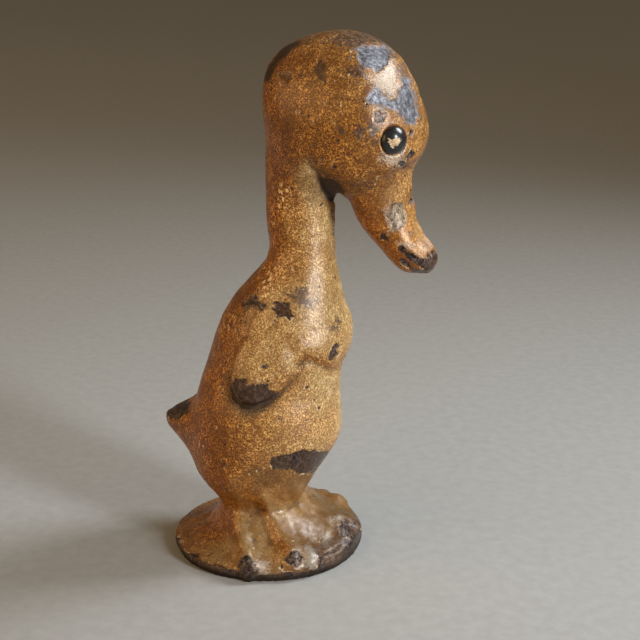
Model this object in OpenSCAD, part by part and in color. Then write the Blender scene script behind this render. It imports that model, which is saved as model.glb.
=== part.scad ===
// Duckling paperweight: two hollow iron half castings that meet on the
// middle plane, held by one slotted screw, with domed enamel eyes.
// Millimetres, +Z up, the duckling faces +X, origin at the middle of the
// face that it stands on.

/* [Base] */
// Length of the base plate, front to back
base_l = 45.2; // [41:0.2:54]
// Width of the base plate, side to side
base_w = 45.2; // [41:0.2:54]
// Height of the rim round the base plate
rim_h = 2.4; // [1.6:0.1:3.2]
// How far the worn edges of the rim draw in
rim_wear = 0.8; // [0.3:0.1:1.2]
// Rise of the base plate from the rim inward
plate_rise = 2.2; // [1.6:0.1:3]
// Reach of the raised part of the plate behind the axis
plate_back = 15.4; // [13.5:0.2:17]
// Reach of the raised part of the plate in front of the axis
plate_front = 15.8; // [13.5:0.2:17]
// Width of the raised part of the plate
plate_w = 31; // [28:0.5:34]

/* [Feet] */
// Rise from the raised part of the plate to the insteps
instep_rise = 3.6; // [3:0.1:4.5]
// Reach of the insteps behind the axis
instep_back = 11.6; // [10:0.2:13]
// Reach of the insteps in front of the axis
instep_front = 9.8; // [8.4:0.2:12]
// Width across the insteps
instep_w = 25; // [22:0.5:28]
// Height of a webbed foot above the plate
foot_t = 2.2; // [1:0.1:3]
// Height of a toe above the web
toe_t = 1.5; // [0.7:0.1:2.2]
// Half width of a toe
toe_w = 2.5; // [1.9:0.1:3.2]
// Angle from straight ahead to the inner toe
toe_turn = 9; // [6:1:14]
// Angle between neighbouring toes
toe_spread = 41; // [36:1:46]
// Turn of the outer toe towards the heel for each millimetre inward, in degrees
toe_sweep = 2.5; // [1.5:0.1:3.2]
// Angle that the web falls away in behind the outer toe
web_fall = 21; // [14:1:32]

/* [Legs] */
// Rise from the insteps to the ankles
ankle_rise = 4.2; // [3.4:0.2:5.4]
// Reach of the ankles behind the axis
ankle_back = 11; // [9.4:0.2:12.4]
// Reach of the ankles in front of the axis
ankle_front = 8.4; // [7:0.2:10]
// Width across the ankles
ankle_w = 23; // [20:0.5:26]
// Rise from the ankles to the underside of the belly
leg_h = 6.6; // [6:0.2:8.6]

/* [Body] */
// Reach of the belly's underside behind the axis
seat_back = 16.9; // [14:0.2:18]
// Reach of the belly's underside in front of the axis
seat_front = 11.8; // [10:0.2:14]
// Width of the belly's underside
seat_w = 28.6; // [24:0.5:31]
// Rise from the belly's underside to its fullest part
belly_rise = 9; // [7.5:0.2:11]
// Reach of the belly in front of the axis
belly_front = 17; // [15:0.2:19]
// Reach of the belly behind the axis, without the tail
belly_back = 18; // [16.5:0.2:19.5]
// Width of the belly
belly_w = 33; // [29:0.5:37]
// Rise from the fullest part of the belly to the rump
rump_rise = 8; // [6.5:0.2:9.5]
// Reach of the rump behind the axis
rump_back = 16.4; // [15:0.2:18]
// Rise from the rump to the fold under the breast
fold_rise = 6.6; // [5:0.2:8]
// Reach of the back behind the axis at the fold
fold_back = 14.4; // [12.5:0.2:16]
// Reach of the fold in front of the axis
fold_front = 17; // [15.5:0.2:18.5]
// Width of the body at the fold
fold_w = 30.6; // [27:0.5:33]
// Rise from the fold to the fullest part of the breast
breast_rise = 10.8; // [9:0.2:13]
// Reach of the back behind the axis at the breast
breast_back = 10.2; // [8.5:0.2:12]
// Reach of the breast in front of the axis
breast_front = 19.8; // [18:0.2:22]
// Width of the body at the breast
breast_w = 29.6; // [26:0.5:33]

/* [Tail] */
// Length of the tail behind the rump
tail_l = 7; // [4:0.2:9]
// Width of the tail at its root
tail_w = 20; // [15:0.5:24]
// Rise from the fullest part of the belly to the tail tip
tail_rise = 1.6; // [0:0.2:3]
// Height of the tail's upper slope
tail_up = 6.6; // [5:0.2:8]
// Height of the tail's lower slope
tail_down = 9; // [7:0.2:11]

/* [Wings] */
// Rise of the wing tip above the fold under the breast
wing_tip_rise = -2.6; // [-4:0.2:-1]
// Forward place of the wing tip from the axis
wing_tip_x = -1.8; // [-3.4:0.2:0.6]
// Length of the wing from its tip to the shoulder
wing_l = 25.5; // [23:0.5:28]
// Width of the wing
wing_w = 13.8; // [12:0.2:16]
// Forward lean of the wing from upright, in degrees
wing_lean = 29; // [21:1:35]
// Height of the wing above the side of the body
wing_t = 3.1; // [2.2:0.1:3.6]

/* [Neck] */
// Rise from the breast to the shoulders
shoulder_rise = 7; // [5.5:0.2:9]
// Reach of the back behind the axis at the shoulders
shoulder_back = 5.8; // [4.5:0.2:7]
// Reach of the breast in front of the axis at the shoulders
shoulder_front = 17.8; // [16.5:0.2:19]
// Width across the shoulders
shoulder_w = 23.4; // [20:0.5:26]
// Rise from the shoulders to the foot of the neck
neck_rise = 8.4; // [6.5:0.2:10.5]
// Length of the neck from its foot to the throat
neck_h = 14; // [11:0.5:18]
// Forward place of the neck's middle from the axis
neck_x = 8.3; // [7:0.1:10]
// Depth of the neck, front to back
neck_d = 14.4; // [13:0.2:17]
// Width of the neck
neck_w = 14; // [12.5:0.2:17]
// Growth of the neck at its foot, on each side
neck_flare = 0.6; // [0:0.1:1.2]

/* [Head] */
// Radius of the hollow where the neck meets the chin
throat_r = 2.2; // [1.5:0.1:3]
// Width where the neck runs into the head
jowl_w = 17.6; // [15:0.2:20]
// Reach of the nape behind the throat
nape_x = 17.4; // [16:0.1:19]
// Height of the nape above the throat
nape_h = 24.6; // [22:0.2:27]
// Width of the head at the nape
nape_w = 24; // [20:0.5:27]
// Reach of the back of the crown behind the throat
occiput_x = 13.4; // [12:0.1:15]
// Height of the back of the crown above the throat
occiput_h = 32.8; // [31:0.2:35]
// Height of the crown above the throat
crown_h = 36.8; // [34:0.2:40]
// Width of the head
head_w = 31; // [27:0.5:35]
// Reach of the temples in front of the throat
temple_x = 12.4; // [10.5:0.1:13.5]
// Height of the temples above the throat
temple_h = 31.8; // [29:0.2:33]
// Reach of the forehead in front of the throat
brow_x = 18.3; // [17:0.1:20]
// Height of the forehead above the throat
brow_h = 16.4; // [15:0.2:18.5]
// Width of the head at the forehead
brow_w = 25; // [21:0.5:28]

/* [Bill] */
// Reach of the bill's root in front of the throat
bill_root_x = 15.4; // [14:0.1:16.8]
// Height of the bill's root above the throat
bill_root_h = 7.6; // [6.4:0.2:9]
// Width of the bill at its root
bill_root_w = 17; // [14:0.5:19]
// Length of the bill along its middle line
bill_l = 21.8; // [19:0.2:25]
// Angle that the bill leaves the head, below the horizon
bill_droop = 83; // [74:1:86]
// Angle that the bill turns up again along its length
bill_curve = 52; // [40:1:58]
// Depth of the bill at a third of its length
bill_third_d = 12.6; // [10:0.2:13.4]
// Width of the bill at a third of its length
bill_third_w = 13; // [11:0.2:15]
// Depth of the bill at two thirds of its length
bill_d = 9.8; // [7.6:0.2:10]
// Width of the bill at two thirds of its length
bill_w = 11.8; // [10:0.2:13.4]
// Depth of the bill where its tip begins to round
nail_d = 7.8; // [6.4:0.2:8.4]
// Width of the bill where its tip begins to round
nail_w = 10; // [8:0.2:11]
// Length of the round of the bill's tip
nail_l = 3.2; // [2.2:0.1:4]

/* [Eyes] */
// Diameter of an eye
eye_d = 5.8; // [4.8:0.2:7]
// Height of the eye's dome above its rim
eye_dome = 1.5; // [1:0.1:2.2]
// Depth of the seat that the eye is set in
eye_seat = 1.4; // [0.8:0.1:1.8]
// Gap round the eye in its seat
eye_gap = 0.06; // [0.04:0.01:0.12]
// Turn of the eye round the throat from straight back, in degrees
eye_turn = 129; // [124:1:134]
// Turn of the eye round the head's section from the crown, in degrees
eye_round = 62; // [56:1:70]

/* [Casting] */
// Thickness of the iron wall
wall = 3.5; // [2.8:0.1:4]
// Diameter of a locating pin
pin_d = 3; // [2.4:0.1:3.6]
// Length that a locating pin stands out of the left half
pin_l = 3; // [2:0.2:4]
// Gap round a locating pin and past its end
pin_gap = 0.15; // [0.1:0.05:0.3]
// Forward place of the lower pin from the axis
pin_x = 10; // [7:0.2:12]
// Height of the lower pin above the table
pin_h = 4.2; // [3.4:0.2:5]

/* [Screw] */
// Diameter of the screw's shank
screw_d = 4; // [3.4:0.1:4.6]
// Diameter of the screw's head
screw_head_d = 7.4; // [6.4:0.1:8]
// Height of the screw's head
screw_head_h = 2.4; // [1.8:0.1:2.8]
// How far the screw's head lies below the side of the belly
screw_sink = 0.4; // [0.2:0.1:0.8]
// Width of the screwdriver slot
slot_w = 1.1; // [0.8:0.1:1.4]
// Depth of the screwdriver slot
slot_depth = 1.1; // [0.7:0.1:1.3]
// Length of thread engaged in the right half
thread_l = 9; // [6:0.5:11]
// Rise of the screw's axis above the belly's fullest part
screw_rise = 4.6; // [2:0.2:7]
// Thickness of the boss round the screw hole
boss_wall = 2.6; // [1.8:0.1:3.2]
// Gap round the screw's shank in the left half
screw_gap = 0.25; // [0.15:0.05:0.4]
// Gap round the thread in the right half
thread_gap = 0.05; // [0.03:0.01:0.08]
// Gap past the end of the thread
thread_end_gap = 0.5; // [0.3:0.1:1]
// Gap round the screw's head in its recess
head_gap = 0.3; // [0.2:0.05:0.5]

/* [Hidden] */

paint_gold = [0.62, 0.40, 0.15];
enamel_black = [0.03, 0.03, 0.03];
iron_grey = [0.27, 0.25, 0.24];

// Overlap that makes a cut pass through a face.
through = 1;

// Heights of the level sections, each on the one below.
plate_z = rim_h + plate_rise;
instep_z = plate_z + instep_rise;
ankle_z = instep_z + ankle_rise;
seat_z = ankle_z + leg_h;
belly_z = seat_z + belly_rise;
tail_z = belly_z + tail_rise;
rump_z = belly_z + rump_rise;
fold_z = rump_z + fold_rise;
breast_z = fold_z + breast_rise;
shoulder_z = breast_z + shoulder_rise;
neck_foot_z = shoulder_z + neck_rise;
throat_z = neck_foot_z + neck_h;

// The throat is the centre that the head's sections fan round.
neck_front = neck_x + neck_d / 2;
neck_back = neck_d / 2 - neck_x;
throat = [neck_front + throat_r, throat_z];

// A section is [front x, front z, back x, back z, half width, form]: form 2 is an ellipse, more is squarer.
round_form = 2;
leg_form = 2.3;
function level(z, back, front, width, form = round_form) = [front, z, -back, z, width / 2, form];

// A section of the head from the throat hollow to a point that is placed from the throat.
function fan(point, width) =
    let (aim = point / norm(point))
    concat(throat + throat_r * aim, throat + point, [width / 2, round_form]);

// The bill's middle line is an arc that starts half way along the root section.
bill_root = [bill_root_x, bill_root_h];
bill_start = throat + (bill_root + throat_r * bill_root / norm(bill_root)) / 2;
function bill_section(along, depth, width) =
    let (
        turn = bill_droop - bill_curve * along / bill_l,
        bend_r = bill_l / bill_curve * 180 / PI,
        middle = bill_start + bend_r * [sin(bill_droop) - sin(turn), cos(bill_droop) - cos(turn)],
        up = [sin(turn), cos(turn)]
    )
    concat(middle - depth / 2 * up, middle + depth / 2 * up, [width / 2, round_form]);

// The sections from the table up, over the crown and down to the bill's tip.
jowl_turn = 35;
tip_share = 0.45;
stations = [
    level(0, base_l / 2 - rim_wear, base_l / 2 - rim_wear, base_w - 2 * rim_wear),
    level(rim_h / 2, base_l / 2, base_l / 2, base_w),
    level(rim_h, base_l / 2 - rim_wear / 2, base_l / 2 - rim_wear / 2, base_w - rim_wear),
    level(plate_z, plate_back, plate_front, plate_w),
    level(instep_z, instep_back, instep_front, instep_w, leg_form),
    level(ankle_z, ankle_back, ankle_front, ankle_w, leg_form),
    level(seat_z, seat_back, seat_front, seat_w),
    level(belly_z, belly_back, belly_front, belly_w),
    level(rump_z, rump_back, belly_front, belly_w),
    level(fold_z, fold_back, fold_front, fold_w),
    level(breast_z, breast_back, breast_front, breast_w),
    level(shoulder_z, shoulder_back, shoulder_front, shoulder_w),
    level(neck_foot_z, neck_back, neck_front + neck_flare, neck_w + 2 * neck_flare),
    level((neck_foot_z + throat_z) / 2, neck_back, neck_front, neck_w),
    fan([-throat_r - neck_d, 0], neck_w),
    fan([-throat_r - neck_d, (throat_r + neck_d) * tan(jowl_turn)], jowl_w),
    fan([-nape_x, nape_h], nape_w),
    fan([-occiput_x, occiput_h], (nape_w + head_w) / 2),
    fan([0, crown_h], head_w),
    fan([temple_x, temple_h], head_w),
    fan([brow_x, brow_h], brow_w),
    fan(bill_root, bill_root_w),
    bill_section(bill_l / 3, bill_third_d, bill_third_w),
    bill_section(bill_l * 2 / 3, bill_d, bill_w),
    bill_section(bill_l - nail_l, nail_d, nail_w),
    bill_section(bill_l, nail_d * tip_share, nail_w * tip_share),
];
last = len(stations) - 1;

// Places of some sections in that list.
seat_index = 6;
neck_index = 13;
crown_index = 18;
brow_index = 20;
bill_root_index = 21;

// Numbers of loft steps from each station to the next one.
stage_steps = [1, 1, 4, 3, 2, 3, 4, 4, 3, 4, 3, 3, 2, 2, 3, 3, 2, 3, 3, 3, 3, 3, 3, 2, 2];
places = concat([for (i = [0:last - 1], k = [0:stage_steps[i] - 1]) i + k / stage_steps[i]], [last]);

// Points on half a section, from its front to its back.
half_points = 28;

// Smooth curve through the stations at place s, a station number with a fraction.
function station(s) =
    let (
        i = min(floor(s), last - 1),
        f = s - i,
        a = stations[max(i - 1, 0)],
        b = stations[i],
        c = stations[i + 1],
        d = stations[min(i + 2, last)]
    )
    b + 0.5 * f * (c - a + f * (2 * a - 5 * b + 4 * c - d + f * (3 * (b - c) + d - a)));

// A number raised to a power, keeping its sign.
function keep_sign(value, power) = sign(value) * pow(abs(value), power);

// Smooth step from 0 to 1.
function ease(x) = let (c = max(0, min(1, x))) c * c * (3 - 2 * c);

// Least half size of a section that is drawn in.
thinnest = 0.4;

// A point of the section at s, turned by t from its front, drawn in by inset all round.
function plain_point(s, t, inset) =
    let (
        at = station(s),
        front = [at[0], at[1]],
        back = [at[2], at[3]],
        half = norm(front - back) / 2,
        aim = (front - back) / (2 * half),
        in_plane = (front + back) / 2 + aim * keep_sign(cos(t), 2 / at[5]) * max(half - inset, thinnest),
        out = keep_sign(sin(t), 2 / at[5]) * max(at[4] - inset, thinnest)
    )
    [in_plane[0], out, in_plane[1]];

// How far the tail reaches out behind the body.
function tail_relief(y, z) =
    let (slope = z > tail_z ? tail_up : tail_down)
    tail_l * ease(1 - abs(y) / (tail_w / 2)) * ease(1 - abs(z - tail_z) / slope);

// How far the webbed foot and its toes stand up from the base plate.
function foot_relief(x, y, z) =
    let (
        turn = atan2(y, x),
        out = norm([x, y]),
        toe_out = (plate_front + base_l / 2) / 2,
        toe_step = toe_spread + toe_sweep / 2 * (toe_out - out),
        web = ease(1 - (turn - toe_turn - 2 * toe_step) / web_fall),
        slope = sin(180 * max(0, min(1, (z - rim_h / 2) / (ankle_z - rim_h / 2)))),
        toe = max([for (k = [0:2])
            let (off = (turn - toe_turn - k * toe_step) * PI / 180 * out)
            exp(-pow(off / toe_w, 2) - pow((out - toe_out) / (2 * toe_w), 2))])
    )
    slope * foot_t * web + toe_t * toe * ease(z / rim_h);

// The same point on the outer skin, with the tail and the feet.
function skin_point(s, t) =
    let (
        p = plain_point(s, t, 0),
        foot = p[2] > 0 && p[2] < ankle_z ? foot_relief(p[0], p[1], p[2]) : 0,
        tail = t > 90 && p[2] < fold_z ? tail_relief(p[1], p[2]) : 0
    )
    p + [-tail, 0, foot];

// The left half of the outer form: half sections, closed along the middle plane.
module outer_half() {
    rows = len(places);
    columns = half_points + 1;
    points = [
        for (s = places, j = [0:half_points])
        let (p = skin_point(s, 180 * j / half_points))
        [p[0], j == 0 || j == half_points ? 0 : p[1], p[2]]
    ];
    skin = [
        for (i = [0:rows - 2], j = [0:half_points - 1])
        let (a = i * columns + j, b = a + columns)
        each [[a, b, b + 1], [a, b + 1, a + 1]]
    ];
    seam = [
        for (i = [0:rows - 2])
        let (a = i * columns, b = a + columns)
        each [[a, a + half_points, b], [b, a + half_points, b + half_points]]
    ];
    foot = [for (j = [0:half_points]) j];
    tip = [for (j = [half_points:-1:0]) (rows - 1) * columns + j];
    polyhedron(points, concat(skin, seam, [foot, tip]), convexity = 8);
}

// The wing is laid on the side of the body: the side's distance from the middle plane at x and z.
function place_at(z, low, high, tries = 20) =
    let (mid = (low + high) / 2)
    tries == 0 ? mid : station(mid)[1] < z ? place_at(z, mid, high, tries - 1)
                                           : place_at(z, low, mid, tries - 1);

// Largest share of the section's half length at which the side still counts.
widest_share = 0.97;
function side_of(x, z) =
    let (
        at = station(place_at(z, seat_index, neck_index)),
        share = min(abs(2 * x - at[0] - at[2]) / (at[0] - at[2]), widest_share)
    )
    at[4] * sqrt(1 - share * share);

// A point of the wing: share of the way from its middle to its edge, turned from its tip.
// The wing's edge and underside are sunk into the body, and its upper end tilts into the shoulder.
wing_tip_z = fold_z + wing_tip_rise;
wing_root_depth = 1.4;
wing_edge_depth = 0.7;
wing_sink = 3.4;
wing_level = 0.2;
wing_form = 3;
wing_points = 28;
function wing_point(share, turn, lift) =
    let (
        across = share * sin(turn) * wing_w / 2,
        along = wing_l / 2 * (1 - share * cos(turn)),
        x = wing_tip_x + along * sin(wing_lean) + across * cos(wing_lean),
        z = wing_tip_z + along * cos(wing_lean) - across * sin(wing_lean),
        raised = wing_t * sqrt(max(0, 1 - pow(share, wing_form))) - wing_edge_depth,
        sunk = wing_sink * ease((along / wing_l - wing_level) / (1 - wing_level))
    )
    [x, side_of(x, z) + (lift ? raised : -wing_root_depth) - sunk, z];

module wing() {
    shares = [1, 0.97, 0.88, 0.7, 0.4];
    columns = wing_points;
    rings = len(shares);
    points = concat(
        [for (share = shares, j = [0:columns - 1]) wing_point(share, 360 * j / columns, true)],
        [for (j = [0:columns - 1]) wing_point(1, 360 * j / columns, false)],
        [wing_point(0, 0, true), wing_point(0, 0, false)]
    );
    under = rings * columns;
    top_middle = under + columns;
    under_middle = top_middle + 1;
    face = [
        for (i = [0:rings - 2], j = [0:columns - 1])
        let (a = i * columns + j, b = i * columns + (j + 1) % columns)
        each [[a, b, a + columns], [b, b + columns, a + columns]]
    ];
    edge = [
        for (j = [0:columns - 1])
        let (next = (j + 1) % columns, inner = (rings - 1) * columns)
        each [
            [inner + j, inner + next, top_middle],
            [j, under + j, next],
            [next, under + j, under + next],
            [under + j, under_middle, under + next],
        ]
    ];
    polyhedron(points, concat(face, edge), convexity = 4);
}

// The hollow inside both halves, from the belly through the neck into the head.
cavity_steps = 2;
cavity_points = 10;
module cavity() {
    rows = (brow_index - seat_index) * cavity_steps + 1;
    columns = 2 * cavity_points;
    points = [
        for (i = [0:rows - 1], j = [0:columns - 1])
        plain_point(seat_index + i / cavity_steps, 180 * j / cavity_points, wall)
    ];
    skin = [
        for (i = [0:rows - 2], j = [0:columns - 1])
        let (a = i * columns + j, b = i * columns + (j + 1) % columns)
        each [[a, a + columns, b], [b, a + columns, b + columns]]
    ];
    floor_face = [for (j = [0:columns - 1]) j];
    roof_face = [for (j = [columns - 1:-1:0]) (rows - 1) * columns + j];
    polyhedron(points, concat(skin, [floor_face, roof_face]), convexity = 8);
}

// The eye sits square on the skin: its place on the loft and the direction out of the head there.
function turn_at(s) = let (p = station(s)) atan2(p[3] - throat[1], throat[0] - p[2]);
function place_of(turn, low, high, tries = 20) =
    let (mid = (low + high) / 2)
    tries == 0 ? mid : turn_at(mid) < turn ? place_of(turn, mid, high, tries - 1)
                                           : place_of(turn, low, mid, tries - 1);
eye_s = place_of(eye_turn, crown_index, bill_root_index);
eye_t = 180 - eye_round;
eye_at = plain_point(eye_s, eye_t, 0);

// Small steps along and round the loft, to find that direction.
probe_s = 0.05;
probe_t = 1;
eye_along = plain_point(eye_s + probe_s, eye_t, 0) - plain_point(eye_s - probe_s, eye_t, 0);
eye_across = plain_point(eye_s, eye_t + probe_t, 0) - plain_point(eye_s, eye_t - probe_t, 0);
eye_out = cross(eye_across, eye_along) / norm(cross(eye_across, eye_along));

// Moves something drawn along +Z to the left eye, standing out of the head.
module at_left_eye() {
    translate(eye_at)
        rotate([0, acos(eye_out[2]), atan2(eye_out[1], eye_out[0])])
            children();
}

// The eye: a plug in its seat, with a domed face.
module eye() {
    dome_r = (pow(eye_d / 2, 2) + pow(eye_dome, 2)) / (2 * eye_dome);
    color(enamel_black)
        translate([0, 0, -eye_seat])
            intersection() {
                cylinder(d = eye_d, h = eye_seat + eye_dome, $fn = 40);
                translate([0, 0, eye_seat + eye_dome - dome_r]) sphere(r = dome_r, $fn = 40);
            }
}

module eye_hole() {
    translate([0, 0, -eye_seat])
        cylinder(d = eye_d + 2 * eye_gap, h = eye_seat + eye_dome + through, $fn = 40);
}

// The screw crosses the belly from the left side to a blind thread in the right half.
screw_z = belly_z + screw_rise;
belly_side = belly_w / 2;
head_seat = belly_side - screw_sink - screw_head_h;
boss_d = screw_d + 2 * screw_gap + 2 * boss_wall;

// Turns something drawn along +Z to lie across the figure at the screw, from the middle plane to the left.
module at_screw() {
    translate([0, 0, screw_z]) rotate([-90, 0, 0]) children();
}

// Locating pins stand on the middle plane, in the base plate and in the root of the bill.
pin_places = [[pin_x, pin_h], bill_start];
module at_pins() {
    for (p = pin_places) translate([p[0], 0, p[1]]) rotate([-90, 0, 0]) children();
}

// What both halves have in common, drawn as the left one.
module shell() {
    union() {
        difference() {
            union() {
                outer_half();
                wing();
            }
            cavity();
        }
        at_screw() cylinder(d = boss_d, h = belly_side - wall / 2, $fn = 48);
    }
}

// Room for the screw's head, open to the outside.
module screw_recess() {
    cylinder(d = screw_head_d + 2 * head_gap, h = screw_head_h + screw_sink + through, $fn = 48);
}

module left_half() {
    color(paint_gold)
        union() {
            difference() {
                shell();
                at_screw() translate([0, 0, -through])
                    cylinder(d = screw_d + 2 * screw_gap, h = belly_side, $fn = 48);
                at_screw() translate([0, 0, head_seat]) screw_recess();
                at_left_eye() eye_hole();
            }
            at_pins() translate([0, 0, -pin_l]) cylinder(d = pin_d, h = 2 * pin_l, $fn = 32);
        }
}

module right_half() {
    color(paint_gold)
        mirror([0, 1, 0])
            difference() {
                shell();
                at_screw() translate([0, 0, -through])
                    cylinder(d = screw_d + 2 * thread_gap, h = thread_l + thread_end_gap + through, $fn = 48);
                at_pins() translate([0, 0, -through])
                    cylinder(d = pin_d + 2 * pin_gap, h = pin_l + pin_gap + through, $fn = 32);
                at_left_eye() eye_hole();
            }
}

module tie_screw() {
    color(iron_grey)
        at_screw()
            difference() {
                union() {
                    translate([0, 0, -thread_l]) cylinder(d = screw_d, h = thread_l + head_seat, $fn = 48);
                    translate([0, 0, head_seat]) cylinder(d = screw_head_d, h = screw_head_h, $fn = 48);
                }
                translate([-screw_head_d, -slot_w / 2, head_seat + screw_head_h - slot_depth])
                    cube([2 * screw_head_d, slot_w, slot_depth + through]);
            }
}

module left_eye() {
    at_left_eye() eye();
}

module right_eye() {
    mirror([0, 1, 0]) left_eye();
}

right_half();
left_half();
tie_screw();
right_eye();
left_eye();
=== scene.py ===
"""Looks of the duckling paperweight: chipped bronze paint over two iron half castings."""

import math

import bmesh
import bpy
import numpy as np
from mathutils import Euler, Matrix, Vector


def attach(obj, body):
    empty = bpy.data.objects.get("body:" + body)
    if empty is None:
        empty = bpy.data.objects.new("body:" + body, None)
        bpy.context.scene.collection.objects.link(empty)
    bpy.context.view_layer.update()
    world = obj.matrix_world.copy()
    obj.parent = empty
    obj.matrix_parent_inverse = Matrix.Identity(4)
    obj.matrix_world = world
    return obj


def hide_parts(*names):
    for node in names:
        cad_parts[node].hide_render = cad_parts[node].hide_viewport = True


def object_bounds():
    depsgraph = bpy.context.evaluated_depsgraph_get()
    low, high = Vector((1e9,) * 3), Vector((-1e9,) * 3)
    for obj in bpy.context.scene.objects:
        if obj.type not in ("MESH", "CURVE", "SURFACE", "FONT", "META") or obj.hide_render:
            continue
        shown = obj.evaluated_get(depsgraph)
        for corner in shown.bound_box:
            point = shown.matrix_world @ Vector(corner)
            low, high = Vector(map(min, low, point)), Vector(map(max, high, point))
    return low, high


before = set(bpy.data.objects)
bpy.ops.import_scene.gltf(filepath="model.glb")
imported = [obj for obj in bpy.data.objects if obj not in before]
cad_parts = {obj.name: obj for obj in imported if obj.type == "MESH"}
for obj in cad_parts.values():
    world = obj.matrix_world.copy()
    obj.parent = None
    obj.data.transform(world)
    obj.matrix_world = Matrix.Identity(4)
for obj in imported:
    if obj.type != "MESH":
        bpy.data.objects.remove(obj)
cad_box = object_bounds()


def unit(vector):
    """The vector at a length of 1."""
    return np.array(vector) / np.linalg.norm(vector)


# The skin is shaped in millimetres and written back in metres.
MM = 0.001
WELD = 0.004 * MM

# The photo's camera: place in millimetres, aim, and focal length in pixels of the square frame.
FRAME_PX = 640
FOCAL_PX = 1390
SENSOR_MM = 36.0
CAMERA_PLACE = np.array([77.6, -289.8, 150.0])
AIM = unit([-0.209, 0.930, -0.3035])
RIGHT = unit(np.cross(AIM, [0, 0, 1]))
UP = np.cross(RIGHT, AIM)

# Grain of the skin's grid, and the passes that smooth it and find its hollows.
VOXEL = 0.42
RELAX_PASSES = 60
ROUND_PASSES = 60
HOLLOW_PASSES = 12
SHRINK, SWELL = 0.60, -0.63

# The rim of the base keeps its shape below these heights, and the wing's edge along this width.
RIM_KEPT = (2.4, 3.6)
RIM_SMOOTHING = 0.08
WING_KEPT = 0.85
WING_KEPT_WIDTH = 1.3

# Broad facets are rounded on the head, above these heights, and in part on the bill.
HEAD_UP = (78, 86)
BILL_OUT = (19, 25)
BILL_UP = (58, 62)
BILL_ROUNDING = 0.6

# Wing lobe on the side view: its tip, length, width and lean forward, and where its edge shows.
WING_TIP = np.array([-1.8, 40.0])
WING_LENGTH = 25.5
WING_WIDTH = 13.8
WING_LEAN = math.radians(29)
WING_RIM = 0.985
WING_SHOWS = (15.5, 8)
WING_OUT = (3, 6)
WING_END = (7, 1)

# How proud the wing stands at its edge, lower end and rear, and the groove outside it.
EDGE_LIFT, END_LIFT, REAR_LIFT = 0.20, 0.75, 0.85
GROOVE, FRONT_GROOVE, END_GROOVE = 0.10, 0.16, 0.22
GROOVE_PLACE, GROOVE_WIDTH = 0.45, 0.6

# Lines of the form, traced on the photo in pixels.
CHEEK_LINE = [(412, 167), (395, 173), (378, 177), (367, 184), (356, 188), (340, 182), (322, 172)]
THROAT_LINE = [(310, 163), (316, 172), (320, 183), (325, 192), (331, 199)]
BREAST_LINE = [(346, 362), (339, 369), (331, 371), (322, 367), (313, 362), (305, 361), (300, 365)]
LEG_RIDGE = [(229, 482), (236, 506), (240, 530), (244, 552)]
SECOND_TOE = [(262, 500), (278, 530), (291, 552)]
THIRD_TOE = [(296, 490), (320, 505), (339, 520)]
WEB_DIP = [(258, 505), (267, 530), (272, 550)]

# Folds: line, depth of the crease, swell beside it, and how far off the swell lies.
FOLDS = [(CHEEK_LINE, 0.60, 0.40, 1.9), (BREAST_LINE, 0.62, 0.42, 2.5)]
CREASE_SHARE = 0.45
THROAT_DEPTH, THROAT_WIDTH = 0.60, 0.8

# Shoulder and nape, fuller where they face back: how much, and the heights where it sets in and ends.
FULLER = [(1.0, (44, 62), (76, 65)), (0.6, (72, 80), (98, 90))]

# The brow is flatter than the solid where it faces this way.
BROW_FLAT = 0.65
BROW_WAY = np.array([0.69, 0.36, 0.63])
BROW_OUT = (18, 26)
BROW_UP = (98, 106)

# The bill's front is set back: how much, a point and the lean of that front on the side view, how deep this
# reaches, its band of heights, and those where it eases off.
BILL_SET_BACK = 1.3
BILL_FRONT = np.array([38.5, 71.0])
BILL_LEAN = 0.36
SET_BACK_DEEP = (9, 0)
SET_BACK_BAND = (71.5, 76), (94, 88)
SET_BACK_EASES = (83, 87)

# Ridges on the feet: line, height, width. Toes' ends: pixel, radius, height, drawn out down the picture.
RIDGES = [(LEG_RIDGE, 0.85, 1.8), (SECOND_TOE, 0.65, 1.6), (THIRD_TOE, 0.45, 1.6), (WEB_DIP, -0.45, 1.5)]
TOE_ENDS = [((248, 568), 1.8, 1.1), ((294, 560), 1.8, 0.8), ((311, 557), 1.8, 0.6),
            ((343, 527), 2.0, 0.35)]
TOE_STRETCH = 0.55
TOE_TOP = 12
RIM_INSET = 0.30
RIM_OUT = (18, 20)
RIM_TOP = 4

# Flash along the parting line, and at the throat between these heights.
FLASH, THROAT_FLASH = 0.07, 0.85
FLASH_WIDTH = 0.45
THROAT_BAND = (71, 74), (86, 82)

# Lumps of the casting: height, size and seed. Those on the feet follow no axis.
CAST_LUMPS = [(0.10, 8, 21), (0.045, 2.8, 22), (0.02, 1.1, 23)]
FOOT_LUMPS = [(0.42, 3.7, 24), (0.12, 1.7, 25)]
FOOT_TURN = np.array(Euler((0.7, 0.5, 0.9)).to_matrix())
FOOT_BAND = (3, 5), (17, 11)

# Eye: height of its dome, width of its rounded rim, depth of its plug, and its seat in the skin.
EYE_DOME = 1.5
EYE_ROUND = 0.3
EYE_PLUG = 1.3
EYE_CHIP_DEPTH = 0.10
EYE_TURNS = 96
SEAT_DEPTH, SEAT_LIP = 0.9, 0.16
SEAT_NEAR = 3

# Tie screw: its axis on the side view, and the radius and depth of the recess for its head.
SCREW_AXIS = np.array([0.0, 32.6])
SCREW_RECESS = 4.0
SCREW_DEPTH = 1.6
SCREW_BEVEL = 0.16

# Depth of the paint at a chip, and the soft stop of the skin at the walls of the CAD model's box.
PAINT_DEPTH = 0.16
SOFT_STOP = 0.4

# Distance where no spot is near, and how much a spot shrinks where the skin turns away.
NO_SPOT = -9.0
TURNED_LOSS = 4.0

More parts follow.
